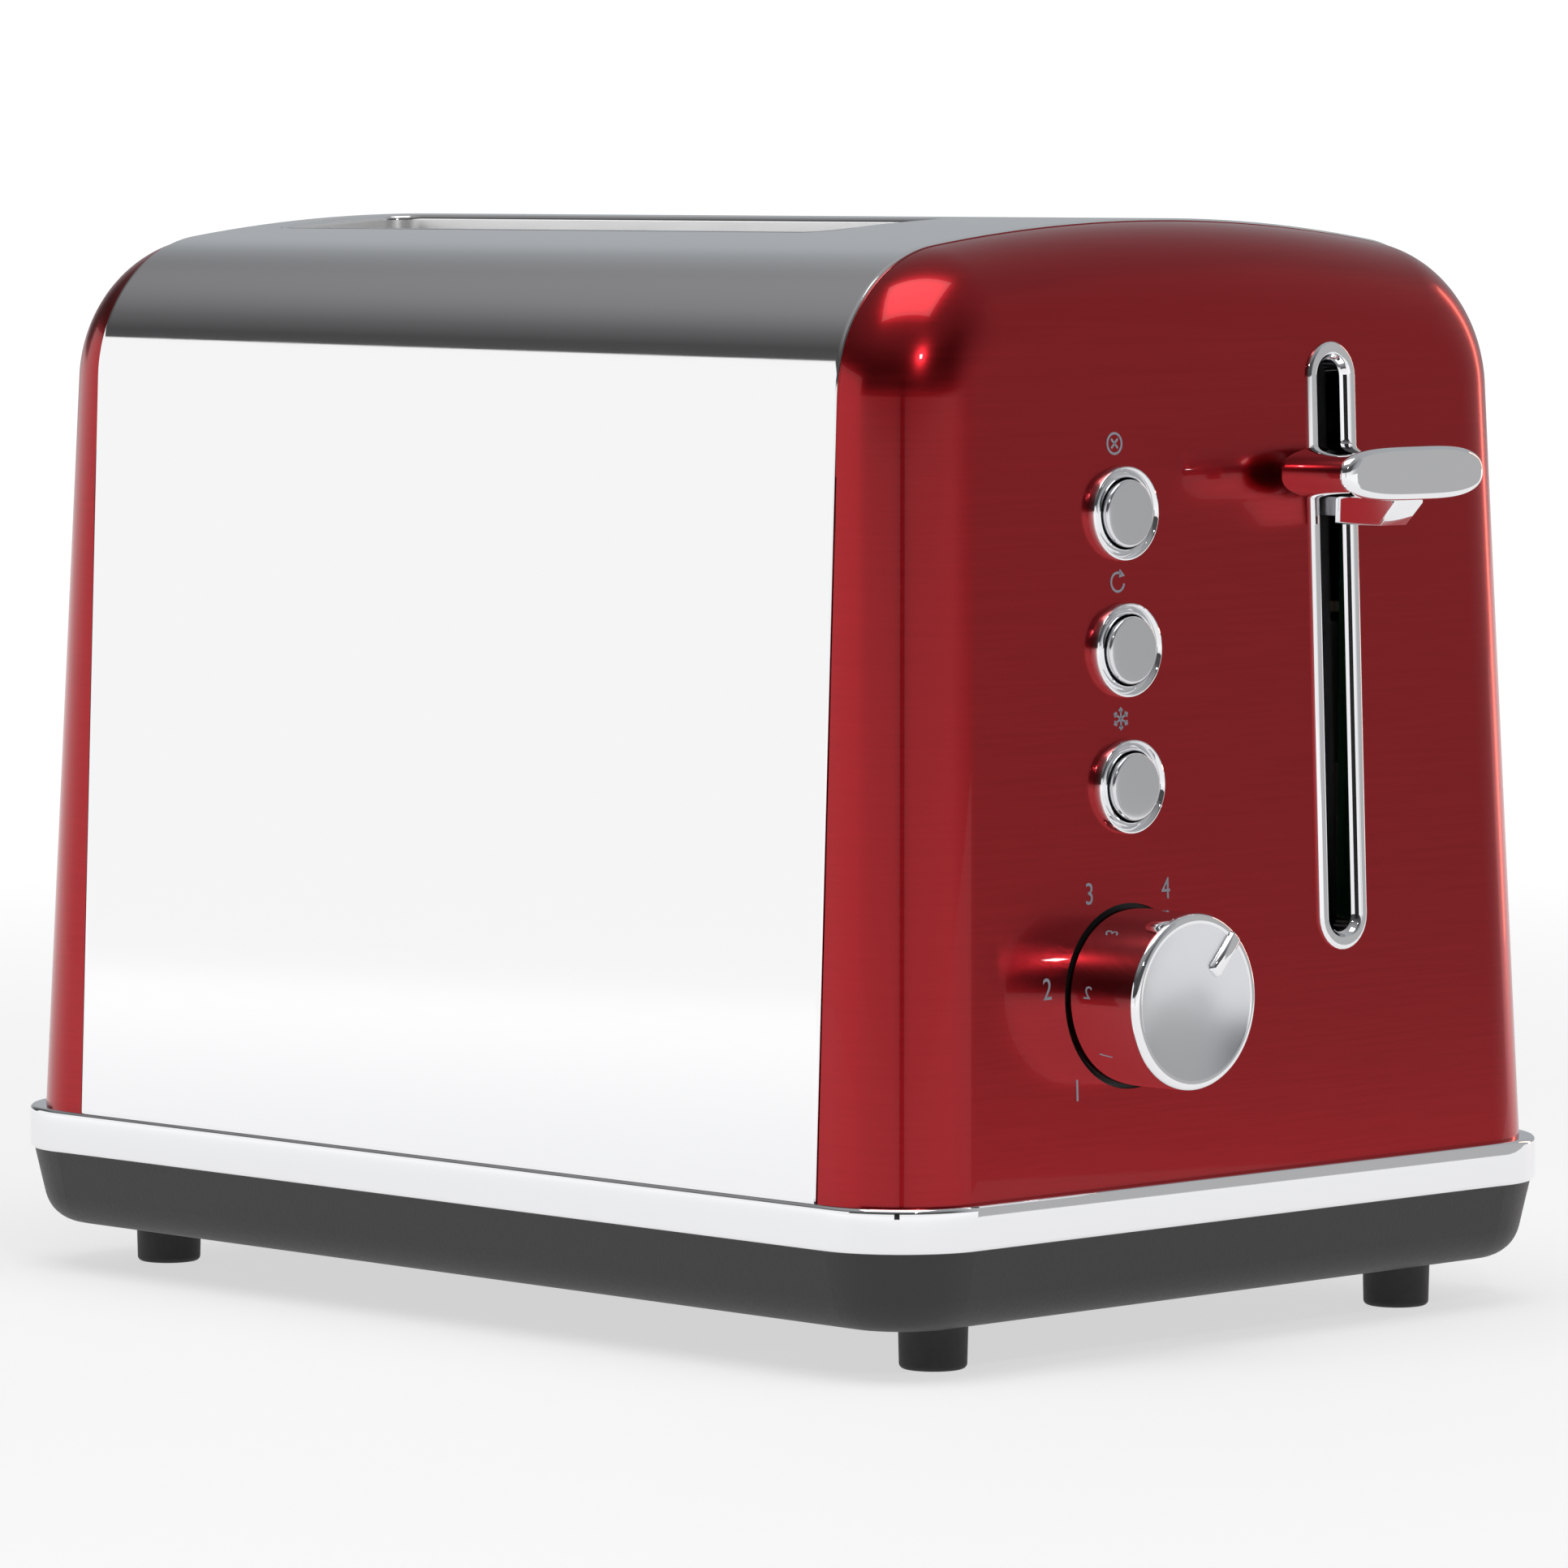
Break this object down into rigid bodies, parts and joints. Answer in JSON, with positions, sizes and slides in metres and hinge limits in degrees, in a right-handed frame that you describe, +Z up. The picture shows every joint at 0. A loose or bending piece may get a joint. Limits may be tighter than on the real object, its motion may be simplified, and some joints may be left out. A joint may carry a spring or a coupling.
{
  "type": "pop up toaster",
  "caption": "Two slot pop-up toaster with polished steel wrap, red end caps, side lever, push buttons, turning browning knob and slide-out crumb tray",
  "frame": {"origin": "centre of the overall box, on the bench the feet stand on", "axes": "+X along the long side toward the lever and knob end, +Y across the toaster, +Z up"},
  "size_m": [0.255, 0.1726, 0.195],
  "materials": {
    "wrap": "polished stainless sheet",
    "cap_red": "metallic red lacquer over brushed sheet",
    "bright": "bright plated",
    "base_black": "fine texture",
    "foot": "matte",
    "plate": "galvanised sheet",
    "wire": "bright wire",
    "mica": "mica sheet",
    "ribbon": "heater ribbon",
    "circuit": "circuit board",
    "dark_part": "moulded",
    "slider": "natural moulding",
    "copper": "enamelled wire",
    "screw": "zinc plated"
  },
  "bodies": {
    "case": {"base_housing": "base_black", "board_posts": "base_black", "bread_guard_left_inner": "wire", "bread_guard_left_outer": "wire", "bread_guard_right_inner": "wire", "bread_guard_right_outer": "wire", "button_rings": "bright", "case_screws": "screw", "center_divider": "plate", "contact_block": "base_black", "contact_leaves": "copper", "control_board": "circuit", "cord_bushing": "base_black", "foot_front_left": "foot", "foot_front_right": "foot", "foot_rear_left": "foot", "foot_rear_right": "foot", "front_end_cap": "cap_red", "front_inner_plate": "plate", "guide_rod": "wire", "heater_board_left_inner": "mica", "heater_board_left_outer": "mica", "heater_board_right_inner": "mica", "heater_board_right_outer": "mica", "heater_ribbon_left_inner": "ribbon", "heater_ribbon_left_outer": "ribbon", "heater_ribbon_right_inner": "ribbon", "heater_ribbon_right_outer": "ribbon", "knob_well": "base_black", "lever_slot_ring": "bright", "lower_bracket": "plate", "magnet_coil": "copper", "magnet_core": "plate", "power_relay": "dark_part", "push_switches": "dark_part", "rear_end_cap": "cap_red", "rear_inner_plate": "plate", "rod_clips": "screw", "side_reflector_left": "plate", "side_reflector_right": "plate", "terminal_block": "base_black", "timer_control": "dark_part", "trim_band": "bright", "upper_bracket": "plate", "wrap_shell": "wrap"},
    "carriage": {"carriage_plate": "plate", "carriage_slider": "slider", "lever_arm": "plate", "lever_handle": "bright", "bread_rack_left": "wire", "bread_rack_right": "wire", "armature_plate": "plate", "carriage_spring": "wire"},
    "knob": {"browning_knob": "bright", "timer_shaft": "wire"},
    "cancel": {"cancel_button": "bright"},
    "reheat": {"reheat_button": "bright"},
    "defrost": {"defrost_button": "bright"},
    "tray": {"crumb_tray": "plate", "tray_pull": "base_black"}
  },
  "joints": [
    {"name": "carriage_slide", "type": "slide", "parent": "case", "child": "carriage", "axis": [0, 0, 1], "range_m": [-0.07, 0.012], "stiffness_N_per_m": 60, "springref_m": 0.02312, "deforming": ["carriage_spring"]},
    {"name": "browning_turn", "type": "hinge", "parent": "case", "child": "knob", "pos_m": [0.11095, -0.0275, 0.0626], "axis": [-1, 0, 0], "range_deg": [-180.6, 97.4]},
    {"name": "cancel_press", "type": "slide", "parent": "case", "child": "cancel", "axis": [-1, 0, 0], "range_m": [0, 0.0025], "stiffness_N_per_m": 400, "springref_m": -0.001},
    {"name": "reheat_press", "type": "slide", "parent": "case", "child": "reheat", "axis": [-1, 0, 0], "range_m": [0, 0.0025], "stiffness_N_per_m": 400, "springref_m": -0.001},
    {"name": "defrost_press", "type": "slide", "parent": "case", "child": "defrost", "axis": [-1, 0, 0], "range_m": [0, 0.0025], "stiffness_N_per_m": 400, "springref_m": -0.001},
    {"name": "tray_slide", "type": "slide", "parent": "case", "child": "tray", "axis": [-1, 0, 0], "range_m": [0, 0.2]}
  ]
}
